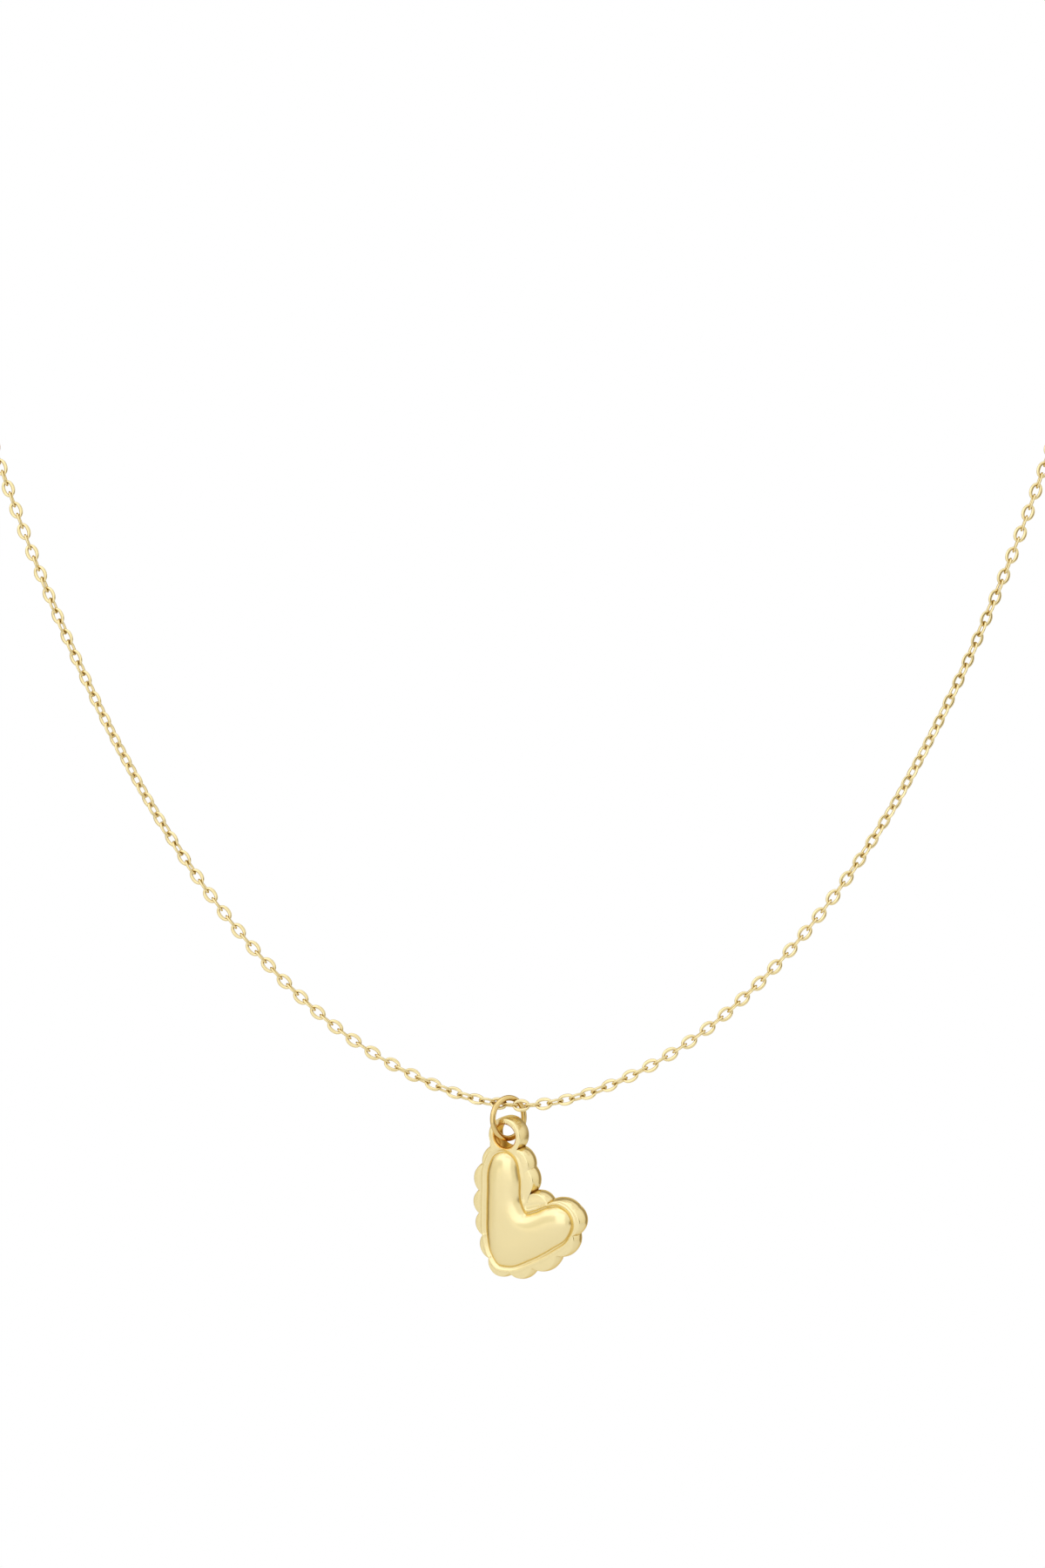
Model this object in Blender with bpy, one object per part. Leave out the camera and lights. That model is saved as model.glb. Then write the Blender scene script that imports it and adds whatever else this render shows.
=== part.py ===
"""Pendant necklace: a cable chain, a jump ring and a puffed heart with a scalloped edge.

The closed loop hangs in the XZ plane. The origin is the middle of the closure at the nape,
+X is to the viewer's right, +Y away from the viewer and +Z up. Sizes below are in millimetres
and angles in degrees. Each object is one piece. A plain round rod stands for the links of a
stretch of chain, and the links at the ends of each stretch are modelled one by one.
"""

import math

import bmesh
import bpy
import numpy as np
from mathutils import Matrix, Vector

MM = 0.001

# Cable chain: round wire bent into ovals that turn a quarter turn from link to link.
LINK_LENGTH = 2.02
LINK_WIDTH = 1.50
LINK_WIRE = 0.34
LINK_PITCH = 1.307
LINK_SHIFT = -0.15  # link 0 is this far right of the loop's lowest point
CENTRE_LINKS = range(-4, 3)
CENTRE_TWISTS = (-40.0, -34.0, -24.0, -15.0, -15.0, -15.0, -20.0)  # their turns about the chain

# Each upper link below carries the lower one, so the loop folds along a line through both sides.
FOLD_LINKS = {"front": 16, "lower": 34, "middle": 70, "upper": 110}
ROD_STEP = 3.75
ROD_GAP = 0.3

# Right half of the loop's centreline, from its lowest point up to the nape.
HALF_ROUTE = [
    (0.0, 0.0), (6.0, 0.9), (12.0, 3.2), (20.0, 7.9), (27.0, 13.9), (34.9, 22.9), (41.1, 31.9),
    (46.2, 40.9), (50.6, 49.9), (54.5, 58.9), (58.0, 67.9), (62.0, 80.0), (65.0, 92.5),
    (66.5, 105.0), (65.6, 117.5), (61.6, 129.5), (54.0, 140.5), (43.0, 149.5), (29.5, 155.9),
    (16.0, 159.2), (6.5, 160.45), (0.0, 160.5),
]
LOOP_HEIGHT = HALF_ROUTE[-1][1]

# Jump ring through the pendant's eye, hung over link -1 of the chain.
RING_DIAMETER = 5.3
RING_WIRE = 0.65
RING_X = -1.62
RING_DROP = 1.45  # from the chain's lowest point down to the ring's centre
RING_YAW = 40.0

# Pendant: its outline is drawn from the middle of the eye, u to the right and v up.
PENDANT_AT = (-2.1, -0.9, -3.5)  # front centre of the eye, from the chain's lowest point
PENDANT_YAW = -32.0
PENDANT_LEAN = 9.0
PENDANT_THICK = 2.15
SIDE_BULGE = 0.16
EDGE_BEVEL = 0.14
MOAT_DEPTH = 0.40
DOME_HEIGHT = 0.75
DOME_CENTRE = (0.0, -10.4)
EYE_RADIUS = 2.12
EYE_HOLE = 1.38
EYE_RECESS = 0.12  # the eye's faces lie this far inside the pendant's faces
SCALLOP_STEPS = 6

# Each scallop ends at a cusp (u, v) and bulges by a share of its chord. The first closes the gap
# under the eye, and the rest go round to the left, past the tip and up the right-hand side.
SCALLOPS = [
    ((-2.13, -1.34), -0.10), ((-3.41, -3.45), 0.16), ((-4.18, -6.57), 0.28),
    ((-4.45, -9.26), 0.28), ((-4.23, -11.83), 0.27), ((-3.67, -14.57), 0.26),
    ((-0.98, -16.17), 0.40), ((2.15, -15.46), 0.29), ((5.61, -13.79), 0.25),
    ((8.10, -11.28), 0.27), ((8.40, -8.19), 0.28), ((5.05, -7.67), 0.20), ((2.64, -6.71), 0.22),
    ((2.83, -3.82), 0.20), ((1.51, -1.46), 0.20),
]

# Foot of the raised heart: (u, v) and the cusp it lies beside, counted from the first one.
HEART = [
    (-1.55, -2.20, 0), (-2.65, -3.75, 1), (-3.12, -6.50, 2), (-3.45, -9.20, 3),
    (-3.65, -11.80, 4), (-3.22, -14.20, 5), (-2.45, -15.30, 5.5), (-1.10, -15.50, 6),
    (1.98, -14.55, 7), (4.92, -13.10, 8), (7.30, -11.50, 9), (7.98, -10.00, 9.5),
    (7.60, -8.75, 10), (6.41, -8.05, 10.5), (4.90, -8.15, 11), (3.03, -8.81, 11.6),
    (1.90, -9.00, 12), (1.38, -8.00, 12.3), (1.38, -4.80, 13), (0.80, -2.45, 14),
    (-0.30, -1.85, 14.5),
]

# Lobster clasp, flat in the XZ plane: p along it to the right and q up, from its middle.
CLASP_X = 0.6
CLASP_THICK = 1.6
HEAD_AT, HEAD_RADIUS = (1.0, 0.0), 2.7
WINDOW_AT, WINDOW_RADIUS = (1.35, 0.0), 1.5
MOUTH = (-1.6, 2.5, -3.0, -1.15)  # p from, p to, q from, q to
TAIL = (-3.0, -0.5, -1.0, 1.0)
SLOT = (-2.2, 0.6, -3.0, -0.1)
SLOT_WIDTH = 0.9
CLASP_EYE_P, CLASP_EYE_RADIUS, CLASP_EYE_HOLE, CLASP_EYE_THICK = -3.7, 1.25, 0.65, 0.8
PIVOT = (-0.9, -0.7)
PIN_RADIUS, PIN_HOLE = 0.28, 0.33
LEVER_BOSS, LEVER_THICK, LEVER_RADIUS = 0.6, 0.8, 0.35
LEVER_ROUTE = [PIVOT, (0.0, -1.6), (1.0, -2.0), (2.12, -1.85)]
THUMB_AT, THUMB_RADIUS = (-1.15, -1.65), 0.4
SPRING_ROUTE = [(-2.05, -0.25), (-2.07, -0.9), (-1.75, -1.35)]
SPRING_RADIUS = 0.1
CLASP_RING_P, CLASP_RING_DIAMETER, CLASP_RING_WIRE = -5.3, 3.1, 0.45
END_RING_P, END_RING_DIAMETER, END_RING_WIRE = 3.9, 4.0, 0.6
LEFT_END_LINK_P, RIGHT_END_LINK_P = -7.03, 5.93

GOLD = (0.86, 0.68, 0.36)
DEEP_GOLD = (0.78, 0.55, 0.22)
STEEL = (0.62, 0.60, 0.56)

part = bpy.data.collections.new("pendant_necklace")
cutters = bpy.data.collections.new("cutters")


def start():
    """Empty the scene and link the two collections."""
    for old in list(bpy.data.objects):
        bpy.data.objects.remove(old, do_unlink=True)
    for group in (part, cutters):
        bpy.context.scene.collection.children.link(group)


def metal(name, colour, roughness):
    """A metal with the piece's own name."""
    material = bpy.data.materials.new(name)
    material.use_nodes = True
    shader = material.node_tree.nodes["Principled BSDF"]
    shader.inputs["Base Color"].default_value = (*colour, 1.0)
    shader.inputs["Metallic"].default_value = 1.0
    shader.inputs["Roughness"].default_value = roughness
    return material


def piece(name, data, matrix=None, colour=GOLD, roughness=0.25):
    """Add one named piece of the necklace."""
    thing = bpy.data.objects.new(name, data)
    data.materials.append(metal(name, colour, roughness))
    part.objects.link(thing)
    if matrix is not None:
        thing.matrix_world = matrix
    return thing


# ---------------------------------------------------------------- curves and meshes


def smooth(points, steps):
    """Points along a smooth curve through the given ones, with steps to each span."""
    points = np.array(points, float)
    spans = np.linalg.norm(np.diff(points, axis=0), axis=1)
    knots = np.concatenate(([0.0], np.cumsum(spans)))
    slopes = np.gradient(points, knots, axis=0)
    found = []
    for i, span in enumerate(spans):
        for f in np.arange(steps) / steps:
            start_share = (1 + 2 * f) * (1 - f) ** 2
            end_share = f * f * (3 - 2 * f)
            found.append(start_share * points[i] + end_share * points[i + 1]
                         + span * f * (1 - f) ** 2 * slopes[i]
                         - span * f * f * (1 - f) * slopes[i + 1])
    found.append(points[-1])
    return np.array(found)


def wire(name, points, radius, closed=False, sides=2):
    """A round wire along points in millimetres, as a curve."""
    curve = bpy.data.curves.new(name, "CURVE")
    curve.dimensions = "3D"
    curve.bevel_depth = radius * MM
    curve.bevel_resolution = sides
    curve.use_fill_caps = not closed
    spline = curve.splines.new("POLY")
    spline.points.add(len(points) - 1)
    for corner, point in zip(spline.points, points):
        corner.co = (point[0] * MM, point[1] * MM, point[2] * MM, 1.0)
        corner.radius = 1.0
    spline.use_cyclic_u = closed
    spline.use_smooth = True
    return curve


def ellipse(long, wide, count):
    """Points of an ellipse in the XZ plane, long in X."""
    turns = np.arange(count) * 2 * math.pi / count
    return [(long * math.cos(a), 0.0, wide * math.sin(a)) for a in turns]


def solid_from(curve):
    """The mesh of a curve, with its caps joined on."""
    holder = bpy.data.objects.new("holder", curve)
    cutters.objects.link(holder)
    evaluated = holder.evaluated_get(bpy.context.evaluated_depsgraph_get())
    mesh = bpy.data.meshes.new_from_object(evaluated)
    bpy.data.objects.remove(holder, do_unlink=True)
    shape = bmesh.new()
    shape.from_mesh(mesh)
    bmesh.ops.remove_doubles(shape, verts=shape.verts, dist=0.000001)
    bmesh.ops.recalc_face_normals(shape, faces=shape.faces)
    shape.to_mesh(mesh)
    shape.free()
    return mesh


def disc(name, radius, thick, count=32):
    """A cylinder about the Y axis, in millimetres."""
    shape = bmesh.new()
    bmesh.ops.create_cone(shape, cap_ends=True, segments=count, radius1=radius * MM,
                          radius2=radius * MM, depth=thick * MM,
                          matrix=Matrix.Rotation(math.pi / 2, 4, "X"))
    mesh = bpy.data.meshes.new(name)
    shape.to_mesh(mesh)
    shape.free()
    return mesh


def block(name, limits, thick):
    """A box from limits (p from, p to, q from, q to), centred on the XZ plane."""
    low_p, high_p, low_q, high_q = limits
    shape = bmesh.new()
    bmesh.ops.create_cube(shape, size=1.0)
    size = Vector((high_p - low_p, thick, high_q - low_q)) * MM
    middle = Vector((low_p + high_p, 0.0, low_q + high_q)) * MM / 2
    bmesh.ops.scale(shape, vec=size, verts=shape.verts)
    bmesh.ops.translate(shape, vec=middle, verts=shape.verts)
    mesh = bpy.data.meshes.new(name)
    shape.to_mesh(mesh)
    shape.free()
    return mesh


def combine(target, operation, name, mesh, matrix):
    """Join a shape to a piece, or cut it out, with a live Boolean modifier."""
    tool = bpy.data.objects.new(name, mesh)
    tool.hide_render = True
    tool.display_type = "WIRE"
    cutters.objects.link(tool)
    tool.matrix_world = matrix
    modifier = target.modifiers.new(name, "BOOLEAN")
    modifier.operation = operation
    modifier.solver = "EXACT"
    modifier.object = tool


def at(x, y, z):
    """A placing matrix for a point in millimetres, measured from the nape."""
    return Matrix.Translation(Vector((x, y, z)) * MM)


# ---------------------------------------------------------------- chain


def route_table():
    """Distance along the loop from its lowest point, and the place there, from left to right."""
    left = [(-x, z) for x, z in reversed(HALF_ROUTE[1:])]
    places = smooth(left + HALF_ROUTE, 24)
    lengths = np.concatenate(([0.0], np.cumsum(np.linalg.norm(np.diff(places, axis=0), axis=1))))
    return lengths - lengths[len(places) // 2], places


ROUTE_S, ROUTE_AT = route_table()


def on_route(s):
    """Place on the loop's centreline, in millimetres from the nape, at distance s."""
    x = np.interp(s, ROUTE_S, ROUTE_AT[:, 0])
    z = np.interp(s, ROUTE_S, ROUTE_AT[:, 1])
    return Vector((x, 0.0, z - LOOP_HEIGHT))


def along_route(s):
    """The loop's direction at distance s, to the right along its lowest stretch."""
    return (on_route(s + 0.3) - on_route(s - 0.3)).normalized()


def link_s(index):
    """Distance along the loop of the centre of one link."""
    return LINK_SHIFT + index * LINK_PITCH


def link_matrix(s, turn):
    """Placing matrix of a link at distance s, turned about the chain by turn degrees."""
    ahead = along_route(s)
    side = Vector((0.0, 1.0, 0.0))
    axes = Matrix((ahead, side, ahead.cross(side))).transposed().to_4x4()
    return (Matrix.Translation(on_route(s) * MM) @ axes
            @ Matrix.Rotation(math.radians(turn), 4, "X"))


def chain_link(name, s, turn):
    """One oval link of the cable chain."""
    path = ellipse((LINK_LENGTH - LINK_WIRE) / 2, (LINK_WIDTH - LINK_WIRE) / 2, 16)
    shape = wire(name, path, LINK_WIRE / 2, closed=True, sides=1)
    return piece(name, shape, link_matrix(s, turn))


def numbered_link(name, index):
    """A link at its place in the count: even ones lie in the loop's plane, odd ones across it."""
    twist = CENTRE_TWISTS[index - CENTRE_LINKS[0]] if index in CENTRE_LINKS else 0.0
    return chain_link(name, link_s(index), twist + 90.0 * (index % 2))


def chain_rod(name, s_from, s_to):
    """The plain rod that stands for the links between two distances, clear of both end links."""
    clear = LINK_LENGTH / 2 + ROD_GAP
    count = max(2, round((s_to - s_from - 2 * clear) / ROD_STEP)) + 1
    places = [on_route(s) for s in np.linspace(s_from + clear, s_to - clear, count)]
    return piece(name, wire(name, places, LINK_WIDTH / 2), roughness=0.3)


def chain_stretch(name, inner, outer):
    """Both sides of one stretch, between the links that begin and end it."""
    for side, sign in (("left", -1), ("right", 1)):
        ends = sorted((link_s(sign * inner[side]), link_s(sign * outer)))
        chain_rod(f"{side}_{name}_chain", *ends)


def fold_links(upper):
    """The pair of linked ovals that each side of the loop folds at."""
    for side, sign in (("left", -1), ("right", 1)):
        for count in (upper - 1, upper):
            numbered_link(f"{side}_link_{count}", sign * count)


def chain():
    """The whole loop but the closure at the nape."""
    for number, index in enumerate(CENTRE_LINKS, start=1):
        numbered_link(f"centre_link_{number}", index)
    inner = {"left": -CENTRE_LINKS[0], "right": CENTRE_LINKS[-1]}
    for name, upper in FOLD_LINKS.items():
        fold_links(upper)
        chain_stretch(name, inner, upper - 1)
        inner = {"left": upper, "right": upper}
    top = FOLD_LINKS["upper"]
    for side, sign, p in (("left", -1, LEFT_END_LINK_P), ("right", 1, RIGHT_END_LINK_P)):
        end_s = sign * (ROUTE_S[-1] - abs(CLASP_X + p))
        chain_link(f"{side}_end_link", end_s, 0.0)
        chain_rod(f"{side}_back_chain", *sorted((link_s(sign * top), end_s)))


# ---------------------------------------------------------------- ring and pendant


def jump_ring():
    """Round-wire ring over the chain and through the pendant's eye."""
    radius = (RING_DIAMETER - RING_WIRE) / 2
    shape = wire("jump_ring", ellipse(radius, radius, 28), RING_WIRE / 2, closed=True)
    place = (at(RING_X, 0.0, -LOOP_HEIGHT - RING_DROP)
             @ Matrix.Rotation(math.radians(RING_YAW), 4, "Z"))
    piece("jump_ring", shape, place, DEEP_GOLD, 0.2)


def arc(start_point, end_point, bulge, steps):
    """Points from one cusp to just before the next, on a round arc to the right of the chord."""
    start_point, end_point = Vector(start_point), Vector(end_point)
    chord = end_point - start_point
    outward = Vector((chord.y, -chord.x))
    half_angle = 2 * math.atan(2 * bulge)
    points = []
    for f in np.arange(steps) / steps:
        lean = half_angle * (2 * f - 1)
        if abs(half_angle) > 1e-6:
            along = (math.sin(lean) / math.sin(half_angle) + 1) / 2
            rise = (math.cos(lean) - math.cos(half_angle)) / (2 * math.sin(half_angle))
        else:
            along, rise = f, 0.0
        points.append(start_point + chord * along + outward * rise)
    return points


def scalloped_outline(steps):
    """The pendant's edge, anticlockwise as seen from the front, cusp after cusp."""
    cusps = [cusp for cusp, _ in SCALLOPS]
    points = []
    for number, (cusp, bulge) in enumerate(SCALLOPS):
        points += arc(cusps[number - 1], cusp, bulge, steps)
    return np.array(points)


def heart_outline(steps):
    """The foot of the raised heart, point for point beside the scalloped edge."""
    count = len(SCALLOPS)
    turns = [(u, v, turn + count * lap) for lap in (-1, 0, 1) for u, v, turn in HEART]
    curve = smooth(turns, 12)
    wanted = np.arange(count * steps) / steps - 1.0
    return np.stack([np.interp(wanted, curve[:, 2], curve[:, axis]) for axis in (0, 1)], axis=1)


def inset(outline, amount):
    """The outline moved inwards by an amount."""
    ahead = np.roll(outline, -1, axis=0) - np.roll(outline, 1, axis=0)
    ahead /= np.linalg.norm(ahead, axis=1, keepdims=True)
    inwards = np.stack((-ahead[:, 1], ahead[:, 0]), axis=1)
    return outline + amount * inwards


def pendant_rings():
    """Rings of (outline, height) from the back, round the edge and up to the dome's top."""
    edge = scalloped_outline(SCALLOP_STEPS)
    heart = heart_outline(SCALLOP_STEPS)
    rings = [
        (inset(edge, EDGE_BEVEL), -PENDANT_THICK),
        (edge, EDGE_BEVEL - PENDANT_THICK),
        (inset(edge, -SIDE_BULGE), -PENDANT_THICK / 2),
        (edge, -EDGE_BEVEL / 2),
        (inset(edge, EDGE_BEVEL), 0.0),
        (edge + 0.72 * (heart - edge), 0.0),
        (edge + 0.93 * (heart - edge), -MOAT_DEPTH),
    ]
    centre = np.array(DOME_CENTRE)
    for share in (0.985, 0.93, 0.84, 0.70, 0.48, 0.24):
        height = (DOME_HEIGHT + MOAT_DEPTH) * math.sqrt(1 - share ** 4) - MOAT_DEPTH
        rings.append((centre + share * (heart - centre), height))
    return rings


def heart_mesh():
    """The scalloped plate and its puffed heart, as one closed loft."""
    shape = bmesh.new()
    loops = []
    for outline, height in pendant_rings():
        loops.append([shape.verts.new(Vector((u, -height, v)) * MM) for u, v in outline])
    count = len(loops[0])
    for lower, upper in zip(loops, loops[1:]):
        for i in range(count):
            j = (i + 1) % count
            shape.faces.new((lower[i], lower[j], upper[j], upper[i]))
    shape.faces.new(loops[0])
    crown = shape.verts.new(Vector((DOME_CENTRE[0], -DOME_HEIGHT, DOME_CENTRE[1])) * MM)
    for i in range(count):
        shape.faces.new((loops[-1][i], loops[-1][(i + 1) % count], crown))
    bmesh.ops.recalc_face_normals(shape, faces=shape.faces)
    mesh = bpy.data.meshes.new("heart_pendant")
    shape.to_mesh(mesh)
    shape.free()
    return mesh


def pendant_matrix():
    """Places the pendant's own u, depth, v axes: turned about the vertical, then leaned."""
    x, y, z = PENDANT_AT
    return (at(x, y, z - LOOP_HEIGHT)
            @ Matrix.Rotation(math.radians(PENDANT_YAW), 4, "Z")
            @ Matrix.Rotation(math.radians(PENDANT_LEAN), 4, "X"))


def heart_pendant():
    """The cast pendant: scalloped heart with a round eye at its top."""
    place = pendant_matrix()
    pendant = piece("heart_pendant", heart_mesh(), place, GOLD, 0.3)
    thick = PENDANT_THICK - 2 * EYE_RECESS
    middle = place @ Matrix.Translation(Vector((0.0, PENDANT_THICK / 2, 0.0)) * MM)
    combine(pendant, "UNION", "eye", disc("eye", EYE_RADIUS, thick, 36), middle)
    hole = disc("eye_hole", EYE_HOLE, 2 * PENDANT_THICK, 28)
    combine(pendant, "DIFFERENCE", "eye_hole", hole, middle)
    pendant.data.set_sharp_from_angle(angle=math.radians(35))


# ---------------------------------------------------------------- closure


def clasp_at(p, q=0.0):
    """Placing matrix of a point of the clasp."""
    return at(CLASP_X + p, 0.0, q)


def clasp_body():
    """Claw, tail and eye in one casting, slotted for the lever and drilled for its pin."""
    body = piece("clasp_body", disc("clasp_body", HEAD_RADIUS, CLASP_THICK, 40),
                 clasp_at(*HEAD_AT))
    combine(body, "UNION", "clasp_tail", block("clasp_tail", TAIL, CLASP_THICK * 0.99), clasp_at(0))
    loop = disc("clasp_eye", CLASP_EYE_RADIUS, CLASP_EYE_THICK)
    combine(body, "UNION", "clasp_eye", loop, clasp_at(CLASP_EYE_P))
    loop_hole = disc("clasp_eye_hole", CLASP_EYE_HOLE, 2 * CLASP_THICK, 20)
    combine(body, "DIFFERENCE", "clasp_eye_hole", loop_hole, clasp_at(CLASP_EYE_P))
    window = disc("clasp_window", WINDOW_RADIUS, 2 * CLASP_THICK)
    combine(body, "DIFFERENCE", "clasp_window", window, clasp_at(*WINDOW_AT))
    mouth = block("clasp_mouth", MOUTH, 2 * CLASP_THICK)
    combine(body, "DIFFERENCE", "clasp_mouth", mouth, clasp_at(0))
    combine(body, "DIFFERENCE", "clasp_slot", block("clasp_slot", SLOT, SLOT_WIDTH), clasp_at(0))
    pin_hole = disc("clasp_pin_hole", PIN_HOLE, 2 * CLASP_THICK, 20)
    combine(body, "DIFFERENCE", "clasp_pin_hole", pin_hole, clasp_at(*PIVOT))


def clasp_lever():
    """The trigger that closes the claw: boss, curved arm and thumb piece, on its pin."""
    lever = piece("clasp_lever", disc("clasp_lever", LEVER_BOSS, LEVER_THICK), clasp_at(*PIVOT))
    points = [(p, 0.0, q) for p, q in smooth(LEVER_ROUTE, 3)]
    arm = solid_from(wire("lever_arm", points, LEVER_RADIUS))
    combine(lever, "UNION", "lever_arm", arm, clasp_at(0))
    thumb = disc("lever_thumb", THUMB_RADIUS, LEVER_THICK * 0.9, 20)
    combine(lever, "UNION", "lever_thumb", thumb, clasp_at(*THUMB_AT))
    hole = disc("lever_hole", PIN_HOLE, 2 * LEVER_THICK, 20)
    combine(lever, "DIFFERENCE", "lever_hole", hole, clasp_at(*PIVOT))


def wire_ring(name, p, diameter, thickness, sides=1):
    """A round ring lying across the clasp, in the XY plane."""
    radius = (diameter - thickness) / 2
    shape = wire(name, ellipse(radius, radius, 24), thickness / 2, closed=True, sides=sides)
    piece(name, shape, clasp_at(p) @ Matrix.Rotation(math.pi / 2, 4, "X"))


def closure():
    """Lobster clasp, its pin and spring, and the rings on both sides."""
    clasp_body()
    clasp_lever()
    piece("clasp_pin", disc("clasp_pin", PIN_RADIUS, CLASP_THICK, 16), clasp_at(*PIVOT),
          STEEL, 0.35)
    points = [(p, 0.0, q) for p, q in smooth(SPRING_ROUTE, 4)]
    piece("clasp_spring", wire("clasp_spring", points, SPRING_RADIUS), clasp_at(0), STEEL, 0.35)
    wire_ring("clasp_ring", CLASP_RING_P, CLASP_RING_DIAMETER, CLASP_RING_WIRE)
    wire_ring("end_ring", END_RING_P, END_RING_DIAMETER, END_RING_WIRE)


start()
chain()
jump_ring()
heart_pendant()
closure()
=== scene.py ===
"""Looks of the pendant necklace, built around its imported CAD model.

Figures are in millimetres and degrees, and the studio's in metres, in the CAD model's own frame:
the origin is the middle of the closure at the nape, +X is to the viewer's right, +Y away from the
viewer and +Z up.
"""

import math

import bmesh
import bpy
import numpy as np
from mathutils import Matrix, Vector


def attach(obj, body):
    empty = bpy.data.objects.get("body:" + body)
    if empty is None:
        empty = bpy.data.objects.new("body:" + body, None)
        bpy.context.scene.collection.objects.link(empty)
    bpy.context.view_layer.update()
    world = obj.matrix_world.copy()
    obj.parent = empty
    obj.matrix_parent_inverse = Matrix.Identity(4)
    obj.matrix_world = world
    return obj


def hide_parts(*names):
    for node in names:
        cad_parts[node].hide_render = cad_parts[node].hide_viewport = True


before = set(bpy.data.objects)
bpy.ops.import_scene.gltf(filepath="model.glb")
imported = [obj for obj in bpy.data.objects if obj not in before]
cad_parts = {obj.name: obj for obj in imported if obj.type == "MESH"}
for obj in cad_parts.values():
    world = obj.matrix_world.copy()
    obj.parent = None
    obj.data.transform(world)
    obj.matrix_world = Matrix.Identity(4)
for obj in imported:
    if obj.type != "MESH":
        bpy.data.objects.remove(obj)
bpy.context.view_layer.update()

MM = 0.001

# Cable chain, placed as in the CAD model. Its wire is a share thinner than round, and as much
# broader along a link's long sides.
LINK_LENGTH, LINK_WIDTH, LINK_WIRE = 2.02, 1.50, 0.34
LINK_PITCH, LINK_SHIFT = 1.307, -0.15
LINK_FLATTENED = 0.22
LINK_STEPS, LINK_SIDES = 32, 12
CENTRE_LINKS = range(-4, 3)
CENTRE_TWISTS = (-40.0, -34.0, -24.0, -15.0, -15.0, -15.0, -20.0)
HALF_ROUTE = [
    (0.0, 0.0), (6.0, 0.9), (12.0, 3.2), (20.0, 7.9), (27.0, 13.9), (34.9, 22.9), (41.1, 31.9),
    (46.2, 40.9), (50.6, 49.9), (54.5, 58.9), (58.0, 67.9), (62.0, 80.0), (65.0, 92.5),
    (66.5, 105.0), (65.6, 117.5), (61.6, 129.5), (54.0, 140.5), (43.0, 149.5), (29.5, 155.9),
    (16.0, 159.2), (6.5, 160.45), (0.0, 160.5),
]
LOOP_HEIGHT = HALF_ROUTE[-1][1]
ROUTE_STEPS = 24

# First and last link of each stretch of chain, counted from the middle of the necklace.
STRETCHES = {"front": (3, 15), "lower": (16, 33), "middle": (34, 69), "upper": (70, 109)}
FIRST_BACK_LINK = 110
BACK_PITCHES = 60

# How far the chain has turned about itself at a distance from the middle. At the folds it is 0, as
# in the CAD model, and the centre links have the turns given above instead.
TWIST = [
    (2.4, -20.0), (5.5, -34.0), (9.0, -28.0), (12.0, -19.0), (16.5, -10.0), (19.4, 0.0),
    (21.1, 0.0), (28.0, 6.0), (42.9, 0.0), (44.4, 0.0), (50.0, 22.0), (57.0, 37.0), (65.0, 39.0),
    (73.0, 27.0), (82.0, 21.0), (90.0, 0.0), (91.5, 0.0), (104.0, 10.0), (118.0, -8.0),
    (142.2, 0.0), (143.8, 0.0), (165.0, 15.0), (195.0, -10.0), (222.0, 0.0), (230.0, 0.0),
]

RING_DIAMETER, RING_WIRE = 5.3, 0.65
RING_X, RING_DROP, RING_YAW = -1.62, 1.45, 40.0

PENDANT_AT = (-2.1, -0.9, -3.5)
PENDANT_YAW, PENDANT_LEAN = -32.0, 9.0
PENDANT_THICK = 2.15
EYE_RADIUS, EYE_HOLE = 2.12, 1.38
DOME_CENTRE = (0.0, -10.4)
SCALLOPS = [
    ((-2.13, -1.34), -0.10), ((-3.41, -3.45), 0.16), ((-4.18, -6.57), 0.28),
    ((-4.45, -9.26), 0.28), ((-4.23, -11.83), 0.27), ((-3.67, -14.57), 0.26),
    ((-0.98, -16.17), 0.40), ((2.15, -15.46), 0.29), ((5.61, -13.79), 0.25),
    ((8.10, -11.28), 0.27), ((8.40, -8.19), 0.28), ((5.05, -7.67), 0.20), ((2.64, -6.71), 0.22),
    ((2.83, -3.82), 0.20), ((1.51, -1.46), 0.20),
]
HEART = [
    (-1.55, -2.20, 0), (-2.65, -3.75, 1), (-3.12, -6.50, 2), (-3.45, -9.20, 3),
    (-3.65, -11.80, 4), (-3.22, -14.20, 5), (-2.45, -15.30, 5.5), (-1.10, -15.50, 6),
    (1.98, -14.55, 7), (4.92, -13.10, 8), (7.30, -11.50, 9), (7.98, -10.00, 9.5),
    (7.60, -8.75, 10), (6.41, -8.05, 10.5), (4.90, -8.15, 11), (3.03, -8.81, 11.6),
    (1.90, -9.00, 12), (1.38, -8.00, 12.3), (1.38, -4.80, 13), (0.80, -2.45, 14),
    (-0.30, -1.85, 14.5),
]

# Closure
CLASP_X = 0.6
CLASP_RING_P, CLASP_RING_DIAMETER, CLASP_RING_WIRE = -5.3, 3.1, 0.45
END_RING_P, END_RING_DIAMETER, END_RING_WIRE = 3.9, 4.0, 0.6
END_LINK_P = {"left": -7.03, "right": 5.93}


# ---------------------------------------------------------------- curves, as in the CAD model


def smooth(points, steps):
    """Points along a smooth curve through the given ones, with steps to each span."""
    points = np.array(points, float)
    spans = np.linalg.norm(np.diff(points, axis=0), axis=1)
    knots = np.concatenate(([0.0], np.cumsum(spans)))
    slopes = np.gradient(points, knots, axis=0)
    found = []
    for i, span in enumerate(spans):
        for f in np.arange(steps) / steps:
            start_share = (1 + 2 * f) * (1 - f) ** 2
            end_share = f * f * (3 - 2 * f)
            found.append(start_share * points[i] + end_share * points[i + 1]
                         + span * f * (1 - f) ** 2 * slopes[i]
                         - span * f * f * (1 - f) * slopes[i + 1])
    found.append(points[-1])
    return np.array(found)


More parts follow.
